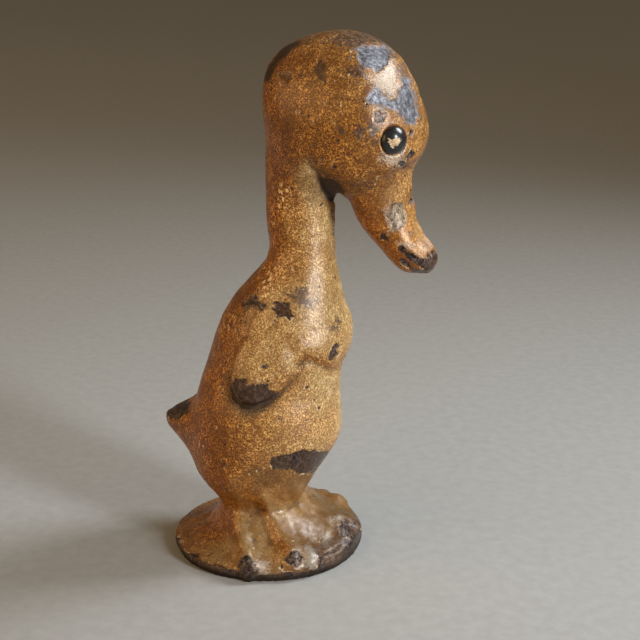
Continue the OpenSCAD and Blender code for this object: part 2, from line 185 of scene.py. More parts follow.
# Bare iron where the paint has flaked off, traced on the photo in pixels.
CHIPS = {
    "crown": [(356, 50), (366, 46), (378, 46), (386, 47), (391, 52), (389, 57), (386, 63), (381, 70),
        (376, 73), (371, 68), (366, 65), (360, 61)],
    "forehead": [(405, 80), (410, 82), (413, 92), (415, 105), (417, 115), (415, 124), (408, 121),
        (402, 118), (399, 113), (394, 109), (388, 106), (383, 104), (375, 103), (368, 99), (371, 92),
        (374, 89), (381, 92), (386, 97), (392, 102), (397, 100), (397, 94), (401, 89), (404, 85)],
    "temple": [(314, 69), (318, 58), (322, 57), (324, 66), (327, 76), (325, 84), (320, 80)],
    "nape spot": [(278, 74), (285, 72), (291, 76), (287, 80)],
    "over eye": [(374, 118), (377, 112), (383, 114), (388, 113), (388, 118), (383, 121), (377, 122)],
    "cheek": [(336, 129), (339, 123), (343, 128), (344, 133)],
    "before eye": [(410, 130), (414, 131), (413, 135), (409, 134)],
    "under eye": [(404, 157), (409, 155), (411, 150), (414, 152), (413, 157), (408, 161)],
    "under eye low": [(398, 163), (402, 160), (408, 162), (406, 167), (401, 167)],
    "bill ridge": [(411, 190), (416, 193), (416, 202), (411, 201)],
    "bill side": [(389, 207), (393, 203), (400, 203), (406, 209), (409, 216), (407, 223), (400, 228),
        (394, 230), (390, 222), (388, 214)],
    "bill crack": [(380, 232), (383, 232), (387, 237), (389, 242), (386, 242), (382, 237)],
    "bill tip": [(396, 247), (400, 244), (404, 249), (407, 252), (411, 252), (415, 257), (419, 257),
        (424, 260), (428, 257), (430, 250), (436, 248), (442, 256), (440, 268), (435, 275), (427, 275),
        (423, 267), (417, 265), (411, 262), (405, 256), (398, 251)],
    "bill lip": [(399, 258), (404, 260), (409, 264), (415, 268), (421, 271), (427, 274), (422, 276),
        (413, 272), (406, 267), (400, 262)],
    "back": [(243, 306), (245, 300), (249, 296), (254, 296), (257, 300), (261, 301), (263, 306), (261, 310),
        (257, 306), (254, 302), (250, 302), (247, 305)],
    "shoulder": [(273, 310), (276, 303), (283, 301), (290, 304), (288, 310), (292, 313), (296, 317),
        (290, 321), (284, 317), (277, 317)],
    "breast low": [(328, 358), (331, 350), (336, 343), (339, 346), (338, 353), (333, 358)],
    "wing spot": [(262, 366), (267, 364), (268, 368), (263, 369)],
    "wing tip": [(231, 389), (233, 378), (237, 377), (241, 379), (245, 379), (246, 383), (244, 387),
        (249, 386), (256, 386), (262, 385), (268, 385), (270, 388), (274, 391), (277, 394), (273, 398),
        (266, 403), (258, 407), (250, 409), (243, 407), (236, 402), (232, 396)],
    "tail": [(164, 416), (170, 402), (182, 398), (192, 403), (188, 412), (178, 420)],
    "belly": [(271, 458), (300, 450), (330, 452), (326, 462), (308, 474), (300, 474), (291, 470),
        (273, 470)],
    "first toe": [(238, 566), (240, 558), (246, 553), (252, 556), (256, 564), (258, 578), (257, 588),
        (239, 588)],
    "second toe": [(285, 558), (288, 552), (295, 551), (301, 557), (300, 563), (296, 567), (288, 563)],
    "third toe": [(338, 527), (342, 520), (348, 522), (353, 531), (350, 537), (340, 534)],
    "left rim": [(175, 541), (180, 545), (186, 551), (193, 554), (198, 555), (203, 560), (210, 561),
        (216, 565), (222, 564), (229, 568), (231, 573), (222, 573), (210, 569), (198, 564), (188, 559),
        (178, 551)],
    "right rim": [(316, 574), (319, 557), (327, 550), (338, 545), (347, 538), (356, 531), (363, 526),
        (372, 536), (366, 549), (352, 560), (334, 572)],
}

# What some chips keep: a film of brown paint, iron rubbed smooth by handling, or primer.
CHIP_FINISHES = {
    "film": ("temple", "nape spot", "cheek"),
    "smooth": ("crown", "forehead"),
    "primed": ("bill side",),
}

# Paint worn so thin that the iron shows through it in grains.
THIN_SPOTS = {
    "crown strip": [(322, 41), (338, 32), (352, 28), (368, 30), (382, 36), (393, 46), (397, 56), (390, 60),
        (386, 48), (376, 45), (364, 46), (356, 52), (350, 57), (348, 49), (336, 45)],
    "crown low": [(358, 60), (366, 64), (372, 70), (366, 72), (358, 68)],
    "crown spot": [(343, 70), (346, 66), (352, 66), (356, 64), (359, 67), (361, 72), (362, 80), (357, 79),
        (351, 77), (344, 76)],
    "behind eye": [(366, 128), (370, 125), (375, 129), (377, 134), (376, 141), (371, 144), (367, 140),
        (369, 134)],
    "temple low": [(353, 133), (358, 129), (363, 131), (364, 136), (358, 137)],
    "brow": [(394, 61), (399, 66), (404, 73), (407, 80), (404, 86), (398, 80), (394, 70)],
    "forehead": [(396, 60), (404, 66), (410, 78), (416, 92), (419, 112), (414, 124), (405, 122), (396, 112),
        (380, 107), (366, 102), (364, 94), (372, 88), (384, 91), (394, 100), (398, 90), (403, 82)],
    "shoulder": [(286, 294), (294, 288), (304, 289), (311, 297), (319, 305), (313, 311), (303, 307),
        (296, 303), (289, 304)],
    "back": [(242, 307), (246, 298), (252, 295), (258, 297), (263, 303), (261, 310), (254, 307),
        (245, 312)],
    "breast": [(332, 326), (336, 318), (340, 320), (339, 329), (334, 330)],
    "rim": [(308, 566), (310, 550), (318, 540), (332, 534), (338, 526), (352, 518), (362, 520), (370, 533),
        (366, 547), (352, 558), (334, 570)],
}

# Cream primer and rubbed paint; on the crown, under the eye and on the second toe also a painted highlight.
PALE_SPOTS = {
    "crown": [(368, 78), (376, 74), (382, 72), (387, 65), (391, 61), (394, 70), (398, 80), (402, 85),
        (397, 91), (392, 98), (386, 93), (378, 88), (370, 85)],
    "under eye": [(382, 155), (387, 157), (394, 157), (402, 152), (405, 159), (400, 166), (392, 168),
        (385, 164)],
    "first toe": [(255, 562), (262, 559), (270, 563), (268, 570), (270, 577), (260, 581), (258, 572)],
    "second toe": [(304, 548), (310, 544), (316, 552), (319, 562), (314, 569), (305, 566), (302, 556)],
    "third toe": [(329, 521), (335, 517), (341, 515), (342, 520), (337, 526), (331, 525)],
    "rim": [(310, 538), (316, 533), (328, 534), (331, 538), (322, 539), (313, 542)],
    "bill": [(398, 244), (403, 242), (406, 246), (401, 247)],
    "bill side": [(386, 208), (390, 205), (392, 211), (391, 220), (395, 229), (391, 231), (387, 222),
        (385, 214)],
}

# Paint scratched through in short bright strokes.
SCRATCHED_SPOTS = {
    "shoulder": [(262, 268), (270, 262), (277, 268), (276, 280), (272, 292), (266, 300), (262, 296),
        (258, 285), (252, 287), (254, 278)],
    "neck": [(276, 190), (282, 184), (288, 190), (288, 204), (283, 212), (279, 206)],
    "back": [(221, 332), (226, 316), (232, 306), (239, 306), (235, 318), (230, 334)],
}

# Painted shade in the throat and at the nape, painted shadow under the belly, and painted light on the neck,
# a foot and the hollow under the breast.
PAINTED_SHADE_SPOTS = {
    "throat": [(317, 171), (324, 174), (332, 178), (340, 184), (346, 190), (344, 195), (336, 194),
        (332, 199), (327, 195), (321, 186), (318, 178)],
    "nape": [(263, 81), (266, 68), (272, 57), (280, 48), (290, 43), (299, 41), (297, 46), (290, 50),
        (287, 57), (281, 62), (275, 66), (271, 74), (268, 81)],
}
PAINTED_SHADOW_SPOTS = {
    "belly": [(250, 472), (290, 470), (330, 460), (326, 478), (312, 492), (285, 492), (255, 488)],
}
PAINTED_LIGHT_SPOTS = {
    "foot": [(214, 548), (226, 541), (236, 546), (237, 558), (234, 568), (224, 566), (212, 559)],
    "neck": [(300, 172), (308, 163), (314, 168), (318, 178), (322, 190), (330, 203), (336, 222), (334, 245),
        (322, 245), (312, 225), (304, 200)],
    "hollow": [(302, 374), (314, 368), (328, 374), (348, 374), (346, 412), (284, 412), (294, 392)],
}

# Primer bared in the enamel of the eyes. The left eye's is traced on its mirror image.
EYE_CHIPS = {
    "right": [(387, 138), (390, 138), (392, 140), (395, 139), (397, 137), (399, 138), (401, 140),
        (399, 143), (398, 145), (395, 146), (394, 148), (391, 147), (390, 144), (388, 142), (390, 141)],
    "left": [(396, 143), (400, 140), (402, 145), (399, 149), (395, 148)],
}

# Bare spots on the side that the photo doesn't show: x, z and radius, and where that side starts.
FAR_CHIPS = [(3.0, 41.5, 4.2), (9.0, 63.0, 2.6), (-6.0, 50.0, 2.0), (24.0, 104.0, 3.4), (8.0, 110.0, 3.0),
             (31.0, 78.0, 2.2), (-18.0, 30.0, 2.8), (2.0, 95.0, 1.6), (12.0, 52.0, 1.8), (-2.0, 22.0, 2.4)]
FAR_SIDE = 2
FAR_WANDER = 2.6

# Bare specks on the hidden sides and all over: how many, and the least and largest radius.
FAR_SPECKS, FAR_SPECK_SIZES = 60, (0.3, 1.3)
SPECKS, SPECK_SIZES = 260, (0.1, 0.32)

# The base is rubbed bare outside this radius, up to about this height, and darkened with painted shade up to
# the other.
RUBBED_OUT = 17
RUBBED_TOP = 2.3
RIM_SHADE_TOP = 3.2

# The paint is paler on what faces this way, towards the lamps, and along the wing, less up on the head and
# on the face: partly fading, partly painted light.
FADE_AND_LIGHT_WAY = np.array([0.72, -0.42, 0.55])
FADED_AND_LIT_WING = (28, 14)
LESS_FADED_AND_LIT_UP = (82, 91)
FACE_OUT = (17, 24)
FACE_UP = (60, 66)

# Heights of the painted shadow on the feet and the painted shade on the head, and of the varnish on feet and
# bill. Both favour the front.
SHADOWED_FEET, SHADED_HEAD = (24, 9), (78, 92)
SEALED_FEET, SEALED_BILL = (26, 15), (90, 82)
SHADOWED_OUT = (6, 14)
FACES_FRONT = (-0.4, 0.3)

# Noises on the skin: size and seed. A broken edge takes its seed and the next one.
FLASH_NOISE, FILED_NOISE = (1.6, 11), (9, 12)
RIM_NOISE, WANDER_NOISES = (3.2, 42), [(4.5, 43), (4.5, 44)]
FADE_AND_LIGHT_NOISE, SHADE_NOISE, RIM_SHADE_NOISE = (6, 61), (3, 62), (3, 63)
FEET_NOISE, BELLY_NOISE, SCRATCH_NOISE = (7, 64), (3, 65), (2.2, 66)
EYE_CHIP_NOISE = (0.5, 51)
CHIP_EDGE_SEED, SHADE_EDGE_SEED, SPECK_SEED = 31, 67, 41

# Shares of painted shade in the folds.
SHADED_FOLDS = [(BREAST_LINE, 0.28), (CHEEK_LINE, 0.30)]

# Sizes in millimetres of what the materials show.
FLAKE, FLECK, STROKE = 0.30, 1.1, 0.80
PAINT_RELIEF, IRON_RELIEF, CHIP_RELIEF = 0.16, 0.16, -0.12
ENAMEL_RELIEF, STEEL_RELIEF = 0.05, 0.04
EYE_PRIMER_GRAIN, ENAMEL_TONES, ENAMEL_WAVES, PAPER_GRAIN = 0.4, 1.5, 1.1, 3.0

# Flecks and strokes are longer up and down.
STRETCHED = (1.0, 1.0, 0.45)

# Grains with a size in millimetres, a detail, a roughness and some a shift.
PAINT_GRAIN = (0.34, 3.0, 0.75)
RUST_GRAIN = (0.9, 5.0, 0.8, 1.9)
FLECK_PATCHES = (6.0, 3.0, 0.6, 6.7)
STEEL_GRAIN = (0.3, 4.0, 0.5)

# The same with the range that counts and, where it isn't 0 to 1, the range that it becomes.
FADE_AND_LIGHT_PATCHES = (14.0, 3.0, 0.5, 2.3, 0.38, 0.62, 0.65, 1.1)
RUST_PATCHES = (9.0, 3.0, 0.5, 4.1, 0.44, 0.58)
PRIMER_SPECKS = (0.7, 4.0, 0.75, 2.9, 0.42, 0.60, 0.08, 0.85)
PRIMER_PATCHES = (3.0, 3.0, 0.6, 1.1, 0.56, 0.62)
THIN_SPREAD = (0.9, 4.0, 0.7, 5.3, 0.25, 0.75, -1.6, 1.6)
FLECK_EDGES = (0.6, 3.0, 0.7, 8.1, 0.3, 0.7, -0.22, 0.22)
STROKE_CLUMPS = (1.5, 3.0, 0.6, 3.7, 0.44, 0.53)
BROKEN_EDGES = (0.6, 3.0, 0.65, 0.7, 0.25, 0.75, -0.26, 0.26)
VARNISH_GLOSS = (1.7, 3.0, 0.6, 9.4, 0.42, 0.60, 0.17, 0.46)

# Mottles in the paint: size, share and shift of the noise.
MOTTLES = [(1.3, 0.44, 3.1), (3.6, 0.50, 7.9), (9.0, 0.46, 0.3)]

# Colours of the paint and the iron by their grain, from the darkest grains to the brightest.
DEEP_PAINT = [(0.41, (0.048, 0.009, 0.001)), (0.475, (0.165, 0.037, 0.001)),
              (0.54, (0.325, 0.099, 0.004)), (0.63, (0.720, 0.340, 0.045))]
# The paler paint for what faces the lamps: partly fading, partly painted light.
FADED_AND_LIT_PAINT = [(0.39, (0.205, 0.108, 0.030)), (0.475, (0.318, 0.184, 0.060)),
               (0.56, (0.450, 0.290, 0.118)), (0.66, (0.700, 0.520, 0.275))]
IRON = [(0.40, (0.012, 0.006, 0.005)), (0.48, (0.042, 0.025, 0.020)),
        (0.55, (0.090, 0.058, 0.046)), (0.63, (0.220, 0.165, 0.140))]
# Iron rubbed smooth, lighter and a little bluish: partly a painted reflection of the lamps.
RUBBED_IRON_AND_REFLECTION = [(0.40, (0.038, 0.035, 0.040)), (0.52, (0.105, 0.101, 0.114)), (0.64, (0.270, 0.264, 0.296))]
ENAMEL = [(0.35, (0.005, 0.005, 0.006)), (0.7, (0.018, 0.017, 0.018))]
EYE_PRIMER = [(0.3, (0.20, 0.11, 0.04)), (0.5, (0.40, 0.26, 0.13)), (0.7, (0.58, 0.44, 0.27))]
STEEL = [(0.3, (0.06, 0.05, 0.045)), (0.55, (0.16, 0.14, 0.125)), (0.8, (0.24, 0.15, 0.09))]
PAPER = [(0.3, (0.33, 0.325, 0.315)), (0.7, (0.37, 0.365, 0.355))]

# Colours of what lies over the paint and the iron.
MOTTLE_BROWN = (0.110, 0.034, 0.003)
# Painted shadow on the feet and the belly, and painted shade on the head.
SHADOW_DARK = (0.070, 0.035, 0.014)
# Painted shade in the hollows.
HOLLOW_SHADE = (0.050, 0.020, 0.005)
# Painted shade in the throat, at the nape, in the folds, under the wing and round the rim.
SHADE_DARK = (0.017, 0.009, 0.005)
RUST_BROWN = (0.085, 0.043, 0.022)
FILM_BROWN = (0.150, 0.078, 0.036)
PRIMER_LEFT = (0.215, 0.155, 0.092)
# Pale of rubbed paint and primer, also a painted highlight on the crown, under the eye and on a toe.
PALE_RUB_AND_HIGHLIGHT = (0.45, 0.40, 0.33)
FLECK_TAN = (0.58, 0.40, 0.22)
STROKE_TAN = (0.86, 0.56, 0.25)
CHIP_EDGE_DARK = (0.110, 0.042, 0.010)
PRIMER = (0.58, 0.42, 0.24)

# Lamps: place and aim in metres, width and height, power in watts, colour and spread in degrees.
BODY = (0.008, 0, 0.06)
BREAST = (0.008, 0, 0.08)
DAYLIGHT = (0.88, 0.95, 1.0)
LAMPS = {
    "low_window": ((0.491, -0.261, 0.20), BODY, (0.10, 0.32), 0.86, DAYLIGHT, 80),
    "high_window": ((0.447, 0.218, 0.478), BODY, (0.20, 0.28), 0.80, DAYLIGHT, 80),
    "fill": ((-0.98, -0.80, 0.48), BODY, (1.6, 0.85), 10.5, (1.0, 0.67, 0.33), 180),
    "bounce": ((0.60, -0.12, 0.10), BREAST, (0.40, 0.10), 0.065, (1.0, 0.84, 0.50), 50),
}
WORLD_COLOUR = (1.0, 0.80, 0.55, 1.0)
WORLD_STRENGTH = 0.18
FLOOR_REACH = 10.0


def ramp(value, low, high):
    """Smooth step from 0 at low to 1 at high."""
    share = np.clip((value - low) / (high - low), 0, 1)
    return share * share * (3 - 2 * share)


def band(value, rise, fall):
    """0 up to a band, 1 in it and 0 beyond, with a smooth rise and fall."""
    return ramp(value, *rise) * ramp(value, *fall)


def bell(gap, width):
    """1 at no gap, falling off to both sides over about a width."""
    return np.exp(-(gap / width) ** 2)


def bumps(points, size, seed):
    """Smooth noise from -1 to 1 at points, about one bump per size."""
    cells = 32
    table = np.random.default_rng(seed).uniform(-1, 1, (cells, cells, cells))
    place = points / size
    cell = np.floor(place).astype(int)
    part = place - cell
    part = part * part * (3 - 2 * part)
    total = np.zeros(len(points))
    for corner in np.ndindex(2, 2, 2):
        weight = np.prod(np.where(corner, part, 1 - part), axis=1)
        x, y, z = ((cell + corner) % cells).T
        total += weight * table[x, y, z]
    return total


def jagged(points, seed):
    """Noise for the broken edge of a chip, in millimetres."""
    return 0.55 * bumps(points, 1.7, seed) + 0.3 * bumps(points, 0.8, seed + 1)


def lumps(points, kinds):
    """Height of lumps of several kinds together."""
    return sum(height * bumps(points, size, seed) for height, size, seed in kinds)


def off_axis(points):
    """Distance of points from the figure's upright axis."""
    return np.hypot(points[:, 0], points[:, 1])


def to_photo(points):
    """Pixels of the photo where points appear, and the millimetres that a pixel spans there."""
    ray = points - CAMERA_PLACE
    depth = ray @ AIM
    across = FRAME_PX / 2 + FOCAL_PX * (ray @ RIGHT) / depth
    down = FRAME_PX / 2 - FOCAL_PX * (ray @ UP) / depth
    return np.stack([across, down], axis=1), depth / FOCAL_PX


def near_segment(pixels, start, end):
    """Distance from pixels to a segment, and which side of it they are on."""
    edge = np.subtract(end, start)
    offset = pixels - start
    along = np.clip(offset @ edge / (edge @ edge), 0, 1)
    gap = np.linalg.norm(offset - along[:, None] * edge, axis=1)
    return gap, np.sign(edge[0] * offset[:, 1] - edge[1] * offset[:, 0])


def from_line(pixels, line):
    """Signed distance from pixels to an open line."""
    nearest = np.full(len(pixels), np.inf)
    side = np.zeros(len(pixels))
    for start, end in zip(line, line[1:]):
        gap, turn = near_segment(pixels, start, end)
        side = np.where(gap < nearest, turn, side)
        nearest = np.minimum(nearest, gap)
    return nearest * side


def within(pixels, outline):
    """Signed distance from pixels to a closed outline, positive inside."""
    nearest = np.full(len(pixels), np.inf)
    inside = np.zeros(len(pixels), bool)
    for start, end in zip(outline, outline[1:] + outline[:1]):
        nearest = np.minimum(nearest, near_segment(pixels, start, end)[0])
        rise = end[1] - start[1]
        if rise:
            crossing = (start[1] > pixels[:, 1]) != (end[1] > pixels[:, 1])
            meets = start[0] + (end[0] - start[0]) * (pixels[:, 1] - start[1]) / rise
            inside ^= crossing & (pixels[:, 0] < meets)
    return np.where(inside, nearest, -nearest)


class Seen:
    """Points of the skin as the photo's camera sees them."""

    def __init__(self, points, normals):
        ray = CAMERA_PLACE - points
        self.normals = normals
        self.pixels, self.scale = to_photo(points)
        self.facing = np.einsum("ij,ij->i", normals, ray) / np.linalg.norm(ray, axis=1)
        self.share = ramp(self.facing, 0.0, 0.3)

    def off_line(self, line):
        """Signed distance in millimetres from a line of pixels."""
        return from_line(self.pixels, line) * self.scale

    def spots(self, outlines):
        """Signed distance in millimetres to the edge of the nearest outline of pixels, positive inside."""
        turned = TURNED_LOSS * ramp(self.facing, 0.12, -0.25)
        nearest = np.full(len(self.scale), NO_SPOT)
        for outline in outlines.values():
            nearest = np.maximum(nearest, within(self.pixels, outline) * self.scale - turned)
        return nearest


def near_side(points, normals):
    """Both sides as seen by the camera, the far one in its mirror image."""
    flip = np.where(points[:, 1:2] > 0, [[1, -1, 1]], [[1, 1, 1]])
    return Seen(points * flip, normals * flip)


class Wing:
    """Where points lie along and across the wing and off its edge, and where its edge and end show."""

    def __init__(self, points):
        offset = points[:, [0, 2]] - WING_TIP
        out = ramp(np.abs(points[:, 1]), *WING_OUT)
        self.along = offset @ [math.sin(WING_LEAN), math.cos(WING_LEAN)]
        self.across = offset @ [math.cos(WING_LEAN), -math.sin(WING_LEAN)]
        self.share = np.hypot(self.across / (WING_WIDTH / 2), self.along / (WING_LENGTH / 2) - 1)
        self.gap = (self.share - WING_RIM) * WING_WIDTH / 2
        self.shows = ramp(self.along, *WING_SHOWS) * out
        self.low = ramp(self.along, *WING_END)
        self.end = self.low * out


def placed(name, data):
    """A new object in the scene."""
    made = bpy.data.objects.new(name, data)
    bpy.context.scene.collection.objects.link(made)
    return made


def mesh_points(mesh):
    """Points of a mesh in millimetres."""
    points = np.empty(len(mesh.vertices) * 3)
    mesh.vertices.foreach_get("co", points)
    return points.reshape(-1, 3) / MM


def plug_axis(cad):
    """Middle of an eye's rim plane, its axis out of the head and its radius, from the CAD eye."""
    points = mesh_points(cad.data)
    middle = points.mean(0)
    axis = np.linalg.svd(points - middle)[2][2]
    axis *= np.sign(axis[1] * middle[1])
    height = (points - middle) @ axis
    radius = np.linalg.norm(points - middle - height[:, None] * axis, axis=1).max()
    return middle + (height.max() - EYE_DOME) * axis, axis, radius


def outer_form(cad, eye):
    """Closed outer surface of both halves as a mesh, from the CAD's right half."""
    middle, axis, radius = eye
    form = bmesh.new()
    form.from_mesh(cad.data)
    bmesh.ops.remove_doubles(form, verts=form.verts, dist=WELD)
    parting = [f for f in form.faces if all(abs(v.co.y) < WELD for v in f.verts)]
    bmesh.ops.delete(form, geom=parting, context="FACES")

    # Only what is joined to the top of the head is the outside.
    reached = {max(form.verts, key=lambda v: v.co.z)}
    front = list(reached)
    while front:
        linked = {e.other_vert(v) for v in front for e in v.link_edges}
        front = list(linked - reached)
        reached |= linked
    bmesh.ops.delete(form, geom=[v for v in form.verts if v not in reached], context="VERTS")

    # The eye's seat is closed here, and cut again in the finished skin.
    seat = []
    for face in form.faces:
        offset = np.array(face.calc_center_median()) / MM - middle
        height = offset @ axis
        if abs(height) < 2 * EYE_DOME and np.linalg.norm(offset - height * axis) < radius + 0.1:
            seat.append(face)
    bmesh.ops.delete(form, geom=seat, context="FACES")
    rim = [e for e in form.edges if e.is_boundary and any(abs(v.co.y) > WELD for v in e.verts)]
    bmesh.ops.holes_fill(form, edges=rim)
    bmesh.ops.mirror(form, geom=form.verts[:] + form.edges[:] + form.faces[:], axis="Y", merge_dist=WELD)
    bmesh.ops.recalc_face_normals(form, faces=form.faces)
    mesh = bpy.data.meshes.new("form")
    form.to_mesh(mesh)
    form.free()
    return mesh


def remeshed(mesh):
    """Points in millimetres and quads of an even grid over a closed mesh."""
    holder = placed("form", mesh)
    grid = holder.modifiers.new("grid", "REMESH")
    grid.mode = "VOXEL"
    grid.voxel_size = VOXEL * MM
    shaped = holder.evaluated_get(bpy.context.evaluated_depsgraph_get()).to_mesh()
    points = mesh_points(shaped)
    corners = np.empty(len(shaped.loops), int)
    shaped.loops.foreach_get("vertex_index", corners)
    bpy.data.objects.remove(holder)
    bpy.data.meshes.remove(mesh)
    return points, corners.reshape(-1, 4)


def edges_of(quads):
    """Each edge of the quads once, as pairs of points."""
    pairs = np.concatenate([quads[:, [i, (i + 1) % 4]] for i in range(4)])
    return np.unique(np.sort(pairs, axis=1), axis=0)


def neighbour_mean(values, edges):
    """Mean over each point's neighbours."""
    count = len(values)
    total = np.empty_like(values)
    for axis in range(3):
        column = values[:, axis]
        total[:, axis] = np.bincount(edges[:, 0], column[edges[:, 1]], count)
        total[:, axis] += np.bincount(edges[:, 1], column[edges[:, 0]], count)
    return total / np.bincount(edges.ravel(), minlength=count)[:, None]


def smoothed(values, edges, amounts):
    """Values moved towards the mean of their neighbours by each of the amounts in turn."""
    for amount in amounts:
        values = values + amount[:, None] * (neighbour_mean(values, edges) - values)
    return values


def relaxed(points, edges):
    """Points with the small facets smoothed, but the volume, the rim and the wing's edge kept."""
    wing = Wing(points)
    kept = WING_KEPT * wing.shows * bell(wing.gap, WING_KEPT_WIDTH)
    strength = (1 - kept) * (RIM_SMOOTHING + (1 - RIM_SMOOTHING) * ramp(points[:, 2], *RIM_KEPT))
    return smoothed(points, edges, [strength * SHRINK, strength * SWELL] * RELAX_PASSES)


def rounded(points, edges):
    """Points with the broad facets of head and bill rounded, and the form that this loses given back."""
    bill = ramp(points[:, 0], *BILL_OUT) * ramp(points[:, 2], *BILL_UP)
    strength = np.maximum(ramp(points[:, 2], *HEAD_UP), BILL_ROUNDING * bill)
    amounts = [strength * SHRINK] * ROUND_PASSES
    soft = smoothed(points, edges, amounts)
    return soft + smoothed(points - soft, edges, amounts)


def normals_of(points, quads):
    """Unit normals at the points."""
    a, b, c, d = (points[quads[:, i]] for i in range(4))
    flat = np.cross(c - a, d - b)
    total = np.zeros_like(points)
    for i in range(4):
        for axis in range(3):
            total[:, axis] += np.bincount(quads[:, i], flat[:, axis], len(points))
    return total / np.maximum(np.linalg.norm(total, axis=1, keepdims=True), 1e-12)


def set_back(points):
    """Points with the front of the bill moved back, most at its middle, as the photo's outline has it."""
    points = points.copy()
    height = points[:, 2]
    behind = BILL_FRONT[0] - BILL_LEAN * (height - BILL_FRONT[1]) - points[:, 0]
    share = ramp(behind, *SET_BACK_DEEP) * band(height, *SET_BACK_BAND)
    points[:, 0] -= BILL_SET_BACK * share * (1 - 0.5 * ramp(height, *SET_BACK_EASES))
    return points


def wing_lift(points, near):
    """The wing's lower end stands proud of the flank, with a fine groove outside it."""
    wing = Wing(points)
    rear = ramp(wing.across, 3, -5) * wing.shows
    front = ramp(near.normals[:, 0], -0.2, 0.3)
    proud = (EDGE_LIFT * wing.shows + END_LIFT * wing.end + REAR_LIFT * rear) * ramp(wing.gap, 0.1, -1.3)
    groove = (GROOVE + FRONT_GROOVE * front + END_GROOVE * wing.end) * wing.shows
    return proud - groove * bell(wing.gap - GROOVE_PLACE, GROOVE_WIDTH)


def fold_lift(near):
    """The cheek overhangs the root of the bill, the breast the belly, and a crease sets off the neck."""
    lift = -THROAT_DEPTH * near.share * bell(near.off_line(THROAT_LINE), THROAT_WIDTH)
    for line, depth, swell, reach in FOLDS:
        gap = near.off_line(line)
        lift -= depth * near.share * bell(gap, CREASE_SHARE * reach)
        lift += swell * near.share * bell(gap - reach, reach)
    return lift


def fuller_lift(points, normals):
    """The shoulder and the nape are fuller than the solid, and the brow is flatter."""
    height = points[:, 2]
    behind = ramp(normals[:, 0], 0.05, -0.55)
    brow = ramp(np.abs(normals) @ BROW_WAY, 0.78, 1.0)
    lift = -BROW_FLAT * brow * ramp(points[:, 0], *BROW_OUT) * ramp(height, *BROW_UP)
    for size, sets_in, ends in FULLER:
        lift += size * behind * band(height, sets_in, ends)
    return lift


def foot_lift(points, normals, near):
    """Ridges down to the toes, the toes' ends, and the rim set in between them."""
    height = points[:, 2]
    lift = np.zeros(len(points))
    for line, size, width in RIDGES:
        lift += size * near.share * bell(near.off_line(line), width)
    toes = np.zeros(len(points))
    for pixel, radius, size in TOE_ENDS:
        gap = np.linalg.norm((near.pixels - pixel) * (1, TOE_STRETCH), axis=1) * near.scale
        toes = np.maximum(toes, size * near.share * bell(gap, radius) * (height < TOE_TOP))
    rim = ramp(off_axis(points), *RIM_OUT) * ramp(np.abs(normals[:, 2]), 0.9, 0.5) * (height < RIM_TOP)
    return lift + toes - RIM_INSET * rim * ramp(toes, 0.6, 0.0)


def flash_lift(points, normals):
    """Flash of the parting line: rough at the throat, filed nearly flat elsewhere."""
    height = points[:, 2]
    parting = bell(points[:, 1], FLASH_WIDTH) * ramp(height, 0.5, 3)
    rough = 0.6 + 0.4 * bumps(points, *FLASH_NOISE)
    throat = band(height, *THROAT_BAND) * ramp(normals[:, 0], 0.3, 0.8)
    left = ramp(bumps(points, *FILED_NOISE), -0.3, 0.4)
    return parting * rough * (FLASH * left + THROAT_FLASH * throat)


def cast_lift(points):
    """Unevenness of the casting, most on the feet."""
    feet = band(points[:, 2], *FOOT_BAND)
    return lumps(points, CAST_LUMPS) + feet * lumps(points @ FOOT_TURN, FOOT_LUMPS)


def sculpted(points, normals):
    """Points with the wing, folds, feet and casting marks worked into the skin."""
    near = near_side(points, normals)
    lift = wing_lift(points, near) + fold_lift(near) + fuller_lift(points, normals)
    lift += foot_lift(points, normals, near) + flash_lift(points, normals) + cast_lift(points)
    return points + lift[:, None] * normals


def seated(points, eyes):
    """Points with the eyes' seats and the recess for the screw's head cut in."""
    points = points.copy()
    for middle, axis, radius in eyes:
        offset = points - middle
        height = offset @ axis
        out = np.linalg.norm(offset - height[:, None] * axis, axis=1)
        lip = SEAT_LIP * bell(out - radius - 0.55, 0.45)
        cut = SEAT_DEPTH * ramp(out, radius + 0.15, radius - 0.2)
        points += np.where(np.abs(height) < SEAT_NEAR, lip - cut, 0)[:, None] * axis
    out = np.linalg.norm(points[:, [0, 2]] - SCREW_AXIS, axis=1)
    recess = SCREW_DEPTH * ramp(out, SCREW_RECESS + 0.2, SCREW_RECESS - 0.25)
    points[:, 1] -= (points[:, 1] > 0) * recess
    return points


